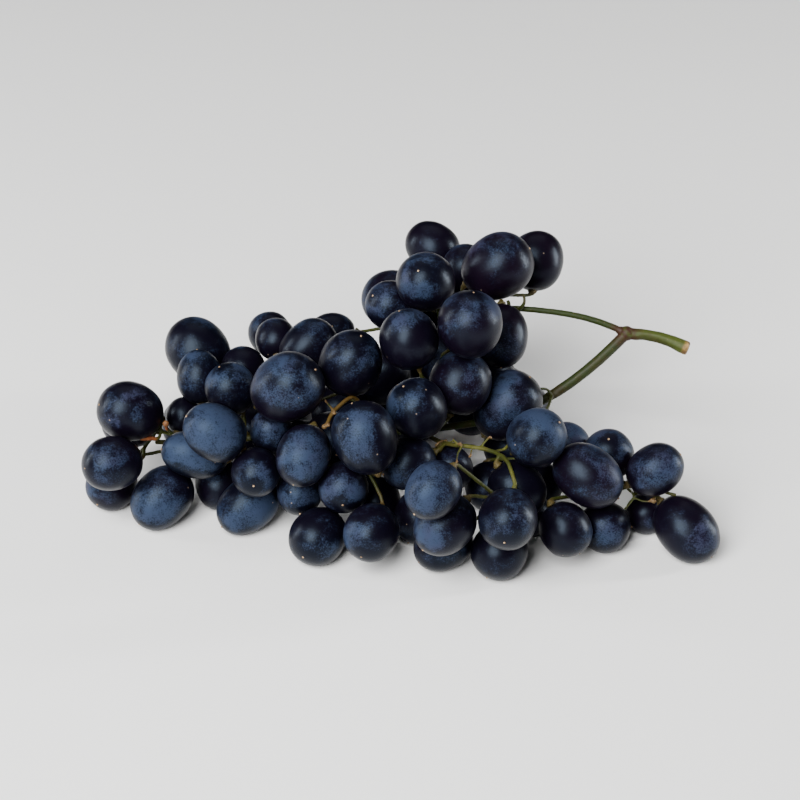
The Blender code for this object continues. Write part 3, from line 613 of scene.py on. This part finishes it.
def grape_skin():
    """Blue-black skin under a dusty bloom that is rubbed off in patches, with painted shade where
    neighbours touch, underneath and on faces turned in.
    """
    finish, tree, shader = material("grape skin")
    place = add(tree, "ShaderNodeTexCoord").outputs["Object"]
    seed = kept(tree, "seed")
    shift = add(tree, "ShaderNodeCombineXYZ", X=seed, Y=sums(tree, "MULTIPLY", seed, SEED_SLANT))
    place = vector_sums(tree, "ADD", place, shift.outputs[0])
    patches = noise_at(tree, place, *SKIN_PATCHES)
    mottle = noise_at(tree, place, *SKIN_MOTTLE)
    grain = noise_at(tree, place, *SKIN_GRAIN)
    hue = noise_at(tree, vector_sums(tree, "ADD", place, HUE_SHIFT), *SKIN_HUE)

    cover = sums(tree, "ADD", kept(tree, "bloom"), -0.5)
    cover = sums(tree, "MULTIPLY_ADD", cover, BLOOM_COVER, USUAL_COVER)
    strength = sums(tree, "MULTIPLY_ADD", kept(tree, "bloom"), PATCH_FADING, PATCH_COVER)
    for pattern, share in ((patches, strength), (mottle, MOTTLE_COVER), (grain, GRAIN_COVER)):
        cover = sums(tree, "MULTIPLY_ADD", sums(tree, "SUBTRACT", pattern, 0.5), share, cover)
    tip = spread(tree, kept(tree, "along"), TIP_FROM, TIP_TO)
    cover = sums(tree, "MULTIPLY_ADD", tip, TIP_COVER, cover)
    # Painted shade: bloom taken off where neighbours touch, underneath and on faces turned in.
    for rub_and_shade, share in RUB_AND_SHADE_COVER.items():
        cover = sums(tree, "MULTIPLY_ADD", kept(tree, rub_and_shade), share, cover)
    cover = spread(tree, cover, COVER_NONE, COVER_FULL)

    # Painted rim light: bare skin on faces turned in is tinted plum, besides the grape's own
    # purple.
    plum = sums(tree, "MULTIPLY_ADD", kept(tree, "inward"), INWARD_PLUM, sums(
        tree, "MULTIPLY", kept(tree, "purple"), hue))
    bare = blended(tree, plum, BARE_BLUE, BARE_PLUM)
    dusty = blended(tree, sums(tree, "MULTIPLY", kept(tree, "purple"), spread(
        tree, hue, HUE_FROM, HUE_TO)), DUSTY_BLUE, DUSTY_PLUM)
    colour = blended(tree, cover, bare, dusty)
    cells = add(tree, "ShaderNodeTexVoronoi", Vector=place, Scale=SPECK_SCALE)
    chance = add(tree, "ShaderNodeSeparateColor", Color=cells.outputs["Color"]).outputs["Red"]
    rare = sums(tree, "GREATER_THAN", chance, SPECK_RARITY)
    spot = spread(tree, cells.outputs["Distance"], SPECK_EDGE, SPECK_MIDDLE)
    speck = sums(tree, "MULTIPLY", sums(tree, "MULTIPLY", spot, rare), SPECK_STRENGTH)
    colour = blended(tree, speck, colour, SPECK)
    tree.links.new(colour, shader.inputs["Base Color"])
    rough = sums(tree, "MULTIPLY_ADD", cover, BLOOM_ROUGHNESS, SKIN_ROUGHNESS)
    rough = sums(tree, "MULTIPLY_ADD", sums(tree, "SUBTRACT", grain, 0.5), GRAIN_ROUGHNESS, rough)
    tree.links.new(rough, shader.inputs["Roughness"])
    shader.inputs["IOR"].default_value = 1.4
    shader.inputs["Specular IOR Level"].default_value = SKIN_SHINE
    shader.inputs["Specular Tint"].default_value = SKIN_SHINE_TINT
    bump = add(tree, "ShaderNodeBump", Height=sums(tree, "ADD", grain, sums(
        tree, "MULTIPLY", mottle, MOTTLE_BUMP)), Strength=SKIN_BUMP, Distance=SKIN_BUMP_DEPTH)
    tree.links.new(bump.outputs[0], shader.inputs["Normal"])
    return finish


def dry_scar():
    """Cream-brown cork at a grape's tip."""
    finish, tree, shader = material("dry scar")
    place = add(tree, "ShaderNodeTexCoord").outputs["Object"]
    colour = blended(tree, spread(tree, noise_at(tree, place, SCAR_GRAIN), 0.4, 0.6),
                     SCAR_DARK, SCAR_PALE)
    tree.links.new(colour, shader.inputs["Base Color"])
    shader.inputs["Roughness"].default_value = 0.75
    return finish


def pale_table():
    """Plain matt white."""
    finish, tree, shader = material("pale table")
    place = add(tree, "ShaderNodeTexCoord").outputs["Object"]
    colour = blended(tree, noise_at(tree, place, 12), *TABLE_WHITES)
    tree.links.new(colour, shader.inputs["Base Color"])
    shader.inputs["Roughness"].default_value = 0.85
    shader.inputs["Specular IOR Level"].default_value = 0.1
    return finish


# ---------------------------------------------------------------- the stem

def seat_tree():
    """Geometry Nodes that put a warty collar on each point, facing along its axis."""
    tree, given = geometry_tree("stalk collars", {
        "Flare": ("Float", SEAT_FLARE * MM), "Neck": ("Float", 1.5 * MM),
        "Height": ("Float", SEAT_HEIGHT * MM), "Warts": ("Int", 9),
        "Wart Ring": ("Float", 0.88), "Wart Rise": ("Float", 0.45),
        "Wart Width": ("Float", 0.95 * MM), "Least Wart": ("Float", 0.6),
        "Finish": ("Material", None)})
    half = sums(tree, "DIVIDE", given["Flare"], 2.0)
    cone = add(tree, "GeometryNodeMeshCone", Vertices=14, Radius_Bottom=half,
               Radius_Top=sums(tree, "DIVIDE", given["Neck"], 2.0),
               Depth=given["Height"]).outputs["Mesh"]
    ring = add(tree, "GeometryNodeMeshCircle", Vertices=given["Warts"],
               Radius=sums(tree, "MULTIPLY", half, given["Wart Ring"])).outputs["Mesh"]
    drop = add(tree, "FunctionNodeRandomValue", {"data_type": "FLOAT"}, Seed=4)
    tree.links.new(sums(tree, "MULTIPLY", given["Height"], given["Wart Rise"]),
                   drop.inputs["Max"])
    raised = add(tree, "ShaderNodeCombineXYZ", Z=drop.outputs["Value"]).outputs[0]
    ring = add(tree, "GeometryNodeSetPosition", Geometry=ring, Offset=raised).outputs[0]
    wart = add(tree, "GeometryNodeMeshIcoSphere", Radius=0.5, Subdivisions=2).outputs["Mesh"]
    vary = add(tree, "FunctionNodeRandomValue", {"data_type": "FLOAT"}, Seed=7)
    tree.links.new(given["Wart Width"], vary.inputs["Max"])
    tree.links.new(sums(tree, "MULTIPLY", given["Wart Width"], given["Least Wart"]),
                   vary.inputs["Min"])
    warts = add(tree, "GeometryNodeInstanceOnPoints", Points=ring, Instance=wart,
                Scale=vary.outputs["Value"]).outputs[0]
    collar = tree.nodes.new("GeometryNodeJoinGeometry")
    tree.links.new(cone, collar.inputs[0])
    tree.links.new(warts, collar.inputs[0])
    turn = add(tree, "FunctionNodeAlignRotationToVector", {"axis": "Z"},
               Vector=stored(tree, "axis", "FLOAT_VECTOR")).outputs[0]
    placed = add(tree, "GeometryNodeInstanceOnPoints", Points=given["Geometry"],
                 Instance=collar.outputs[0], Rotation=turn).outputs[0]
    whole = add(tree, "GeometryNodeRealizeInstances", Geometry=placed).outputs[0]
    whole = add(tree, "GeometryNodeSetMaterial", Geometry=whole,
                Material=given["Finish"]).outputs[0]
    tree.links.new(whole, tree.nodes.new("NodeGroupOutput").inputs[0])
    return tree


def add_tube(form, route, start_width, end_width, sides=10):
    """A closed tube along a route, in millimetres."""
    line = [Vector(place * MM) for place in route]
    side = (line[1] - line[0]).orthogonal().normalized()
    rings = []
    for k, point in enumerate(line):
        tangent = (line[min(k + 1, len(line) - 1)] - line[max(k - 1, 0)]).normalized()
        side = (side - side.dot(tangent) * tangent).normalized()
        other = tangent.cross(side)
        share = k / (len(line) - 1)
        half = (start_width + (end_width - start_width) * share) / 2 * MM
        rings.append([form.verts.new(point + half * (math.cos(a) * side + math.sin(a) * other))
                      for a in np.arange(sides) * 2 * math.pi / sides])
    for low, high in zip(rings, rings[1:]):
        for k in range(sides):
            form.faces.new((low[k - 1], low[k], high[k], high[k - 1]))
    form.faces.new(reversed(rings[0]))
    form.faces.new(rings[-1])


def keep_biggest(mesh):
    """Leaves a mesh its largest piece, without loose crumbs."""
    form = bmesh.new()
    form.from_mesh(mesh)
    left, biggest = set(form.verts), []
    while left:
        piece = [left.pop()]
        for vert in piece:
            for edge in vert.link_edges:
                other = edge.other_vert(vert)
                if other in left:
                    left.remove(other)
                    piece.append(other)
        if len(piece) > len(biggest):
            biggest = piece
    kept_verts = set(biggest)
    bmesh.ops.delete(form, geom=[vert for vert in form.verts if vert not in kept_verts],
                     context="VERTS")
    form.to_mesh(mesh)
    form.free()


def nearness(points, places, near, far):
    """How close each point is to any place: 1 within near millimetres, 0 past far."""
    closest = np.full(len(points), 1e9)
    for place in places:
        closest = np.minimum(closest, np.linalg.norm(points - place, axis=1))
    return soft_step(closest, far * MM, near * MM)


def rough_stem(finish, seats):
    """A mesh of the CAD solid with its twigs, warts and collars run through each other."""
    form = bmesh.new()
    form.from_mesh(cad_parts["stem"].data)
    bmesh.ops.remove_doubles(form, verts=form.verts, dist=1e-6)
    wood = np.array([vert.co for vert in form.verts]) / MM
    for points, start_width, end_width in TWIGS:
        points = [on_slope(*p) / MM for p in points]
        away = np.linalg.norm(wood - points[0], axis=1)
        if away.min() > ROOT_REACH:
            points.insert(0, wood[np.argmin(away)])
        route = smooth_line(points)
        wood = np.concatenate([wood, route])
        add_tube(form, route, start_width, end_width)
    for across, up, out, width in WARTS:
        bmesh.ops.create_icosphere(form, subdivisions=2, radius=width / 2 * MM,
                                   matrix=Matrix.Translation(on_slope(across, up, out)))
    points = points_with_axes(
        "seats", [seat - (SEAT_HEIGHT / 2 - SEAT_SINK) * MM * axis for seat, axis in seats],
        [axis for _, axis in seats])
    collars = grow("collars", points, seat_tree(), {"Finish": finish})
    form.from_mesh(collars.data)
    bpy.data.objects.remove(collars)
    bmesh.ops.recalc_face_normals(form, faces=form.faces)
    mesh = bpy.data.meshes.new("stem_fine")
    form.to_mesh(mesh)
    form.free()
    return mesh


def mark_stem(places, seats):
    """How strongly every mark shows at each place on the stem."""
    # The main arm is old up to its last points, and fresh at its tip.
    lines = {name: [on_slope(*p) for p in smooth_line(route, MARK_STEP)] for name, route in (
        ("stalk", STALK), ("shoulder", SHOULDER_ARM), ("main", MAIN_ARM[:-3]),
        ("side", SIDE_ARM), ("tips", MAIN_ARM[-3:]), ("tan", TAN_LATERAL))}
    fork = [on_slope(*FORK)]
    # The first points of the shoulder's line lie within the fork, and stay out of its mark.
    marked = {
        "cork": [on_slope(*wart[:3]) for wart in WARTS], "collar": [seat for seat, _ in seats],
        "fork": fork, "blush": [on_slope(*p) for p in BLUSHED], "tan": lines["tan"],
        "cut": [on_slope(*STALK[0])], "old": lines["main"], "ball": fork,
        "dark": lines["shoulder"][4:], "stalk": lines["stalk"],
        "fresh": lines["side"] + lines["tips"], "open": fork,
    }
    marks = {name: nearness(places, spots, *MARK_REACH[name]) for name, spots in marked.items()}
    marks["cork"] = np.maximum(marks["cork"], COLLAR_CORK * marks.pop("collar"))
    return marks


def fine_stem(finish, seats):
    """The stem in one skin: the CAD solid, its twigs, warts and collars, rounded together."""
    item = bpy.data.objects.new("stem_fine", rough_stem(finish, seats))
    bpy.context.scene.collection.objects.link(item)
    shell = item.modifiers.new("shell", "REMESH")
    shell.mode = "VOXEL"
    shell.voxel_size = STEM_VOXEL * MM
    smooth = item.modifiers.new("smooth", "SMOOTH")
    smooth.factor = ROUNDING
    smooth.iterations = ROUNDS
    make_plain(item)
    result = item.data
    keep_biggest(result)
    result.name = "stem_fine"
    result.shade_smooth()
    result.materials.clear()
    result.materials.append(finish)

    places, normals = places_and_normals(result)
    marks = mark_stem(places, seats)
    open_arm = marks["old"] * marks.pop("open")
    swell = np.maximum.reduce([marks["stalk"] * SWELL["stalk"], open_arm * SWELL["main arm"],
                               marks["dark"] * SWELL["shoulder arm"]])
    swell = swell - SWELL["fork"] * marks.pop("ball")
    places = places + swell[:, None] * MM * normals
    places[:, 2] = np.maximum(places[:, 2], 0.0)
    result.vertices.foreach_set("co", places.ravel())
    result.update()
    for name, values in marks.items():
        keep(result, name, values.astype(np.float32))
    return item


def green_bark():
    """Stem green: olive on the old arm, deep green on the shoulder, yellow on young twigs, and
    painted dark as shade on stalks deep in the heap.
    """
    finish, tree, shader = material("green stem")
    place = add(tree, "ShaderNodeTexCoord").outputs["Object"]
    streak = noise_at(tree, place, *BARK_STREAKS)
    blotch = noise_at(tree, place, *BARK_BLOTCHES)
    grain = noise_at(tree, place, *BARK_GRAIN)
    # Stalks off the named arms start painted dark as shade.
    colour = blended(tree, streak, *DEEP_SHADE_BARK)
    for arm, shades in ARM_BARK.items():
        colour = blended(tree, kept(tree, arm), colour, blended(tree, streak, *shades))
    russet = sums(tree, "MULTIPLY", spread(tree, blotch, RUSSET_FROM, RUSSET_TO),
                  RUSSET_STRENGTH)
    colour = blended(tree, russet, colour, RUSSET)
    colour = blended(tree, sums(tree, "MULTIPLY", kept(tree, "fork"), spread(
        tree, streak, *FORK_STREAKS)), colour, FORK_BROWN)
    for mark, strength, shades in (("tan", TAN_STRENGTH, TAN_BARK),
                                   ("blush", PINK_STRENGTH, PINK_BARK)):
        colour = blended(tree, sums(tree, "MULTIPLY", kept(tree, mark), strength), colour,
                         blended(tree, streak, *shades))
    corky = blended(tree, spread(tree, grain, *CORKY_GRAIN), *CORKY)
    colour = blended(tree, sums(tree, "MULTIPLY", kept(tree, "cork"), spread(
        tree, streak, *CORK_STREAKS)), colour, corky)
    cut = blended(tree, spread(tree, streak, *CUT_STREAKS), *CUT_WOOD)
    colour = blended(tree, kept(tree, "cut"), colour, cut)
    cells = add(tree, "ShaderNodeTexVoronoi", Vector=place, Scale=DOT_SCALE)
    dots = spread(tree, cells.outputs["Distance"], DOT_EDGE, DOT_MIDDLE)
    colour = blended(tree, sums(tree, "MULTIPLY", dots, DOT_STRENGTH), colour, DOT_BROWN)
    tree.links.new(colour, shader.inputs["Base Color"])
    rough = sums(tree, "MULTIPLY_ADD", grain, ROUGHER_GRAIN, BARK_ROUGHNESS)
    tree.links.new(rough, shader.inputs["Roughness"])
    shader.inputs["Specular IOR Level"].default_value = 0.25
    bump = add(tree, "ShaderNodeBump", Height=sums(tree, "ADD", grain, sums(
        tree, "MULTIPLY", streak, STREAK_BUMP)), Strength=BARK_BUMP, Distance=BARK_BUMP_DEPTH)
    tree.links.new(bump.outputs[0], shader.inputs["Normal"])
    return finish


# ---------------------------------------------------------------- the studio

def add_camera():
    """Looks square at the heap's face."""
    _, _, out = slope_axes()
    middle = Vector(FACE_MIDDLE * MM)
    place = middle + Vector(out) * CAMERA_DISTANCE
    data = bpy.data.cameras.new("camera")
    data.sensor_width = SENSOR_WIDTH
    data.lens = SENSOR_WIDTH * CAMERA_DISTANCE / VIEW_WIDTH
    camera = bpy.data.objects.new("camera", data)
    bpy.context.scene.collection.objects.link(camera)
    camera.location = place
    camera.rotation_euler = (middle - place).to_track_quat("-Z", "Y").to_euler()
    bpy.context.scene.camera = camera


def softbox(name, toward, distance, size, power):
    """A soft light, from a direction given as right, up and towards the camera."""
    across, up, out = slope_axes()
    way = toward[0] * across + toward[1] * up + toward[2] * out
    way = Vector(way / np.linalg.norm(way))
    data = bpy.data.lights.new(name, "AREA")
    data.shape = "RECTANGLE"
    data.size, data.size_y = size
    data.energy = power
    light = bpy.data.objects.new(name, data)
    bpy.context.scene.collection.objects.link(light)
    middle = Vector(FACE_MIDDLE * MM)
    light.location = middle + way * distance
    light.rotation_euler = (-way).to_track_quat("-Z", "Y").to_euler()


def add_studio():
    """A pale table under soft lights."""
    form = bmesh.new()
    bmesh.ops.create_circle(form, cap_ends=True, radius=TABLE_RADIUS, segments=96)
    mesh = bpy.data.meshes.new("table_top")
    form.to_mesh(mesh)
    form.free()
    table = bpy.data.objects.new("table_top", mesh)
    bpy.context.scene.collection.objects.link(table)
    mesh.materials.append(pale_table())
    for name, settings in SOFTBOXES.items():
        softbox(name, *settings)
    world = bpy.data.worlds.new("studio")
    world.use_nodes = True
    tree = world.node_tree
    background = tree.nodes["Background"]
    background.inputs["Color"].default_value = (*SURROUND_COLOUR, 1)
    seen = add(tree, "ShaderNodeLightPath").outputs["Is Camera Ray"]
    tree.links.new(sums(tree, "MULTIPLY_ADD", seen, SURROUND_SEEN - SURROUND_LIGHT,
                        SURROUND_LIGHT), background.inputs["Strength"])
    bpy.context.scene.world = world


# ---------------------------------------------------------------- the bunch

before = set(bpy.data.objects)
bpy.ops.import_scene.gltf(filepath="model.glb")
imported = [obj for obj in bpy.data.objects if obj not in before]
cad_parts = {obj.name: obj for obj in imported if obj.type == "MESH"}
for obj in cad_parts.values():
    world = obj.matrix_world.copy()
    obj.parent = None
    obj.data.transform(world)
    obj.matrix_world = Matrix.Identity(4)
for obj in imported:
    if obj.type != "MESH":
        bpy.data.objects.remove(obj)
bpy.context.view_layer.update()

add_camera()
add_studio()

skin, scar = grape_skin(), dry_scar()
tree = grape_tree()
arms = arm_points()
pieces = list_grapes(arms)
everything = [grape for _, _, grapes in pieces for grape in grapes]
for count, (name, node, grapes) in enumerate(pieces):
    piece = grow_grapes(name, grapes, tree, skin, scar, FIRST_SEED + PIECE_STEP * count)
    mark_rub_and_shade(piece, grapes, everything, arms)
    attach(piece, "root")
    if node:
        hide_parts(node)

seats = [(grape["middle"] + grape["length"] / 2 * grape["axis"], grape["axis"])
         for grape in everything]
seats = [(seat, axis) for seat, axis in seats if seat[2] > SEAT_LOWEST]
stem = fine_stem(green_bark(), seats)
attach(stem, "root")
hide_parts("stem")
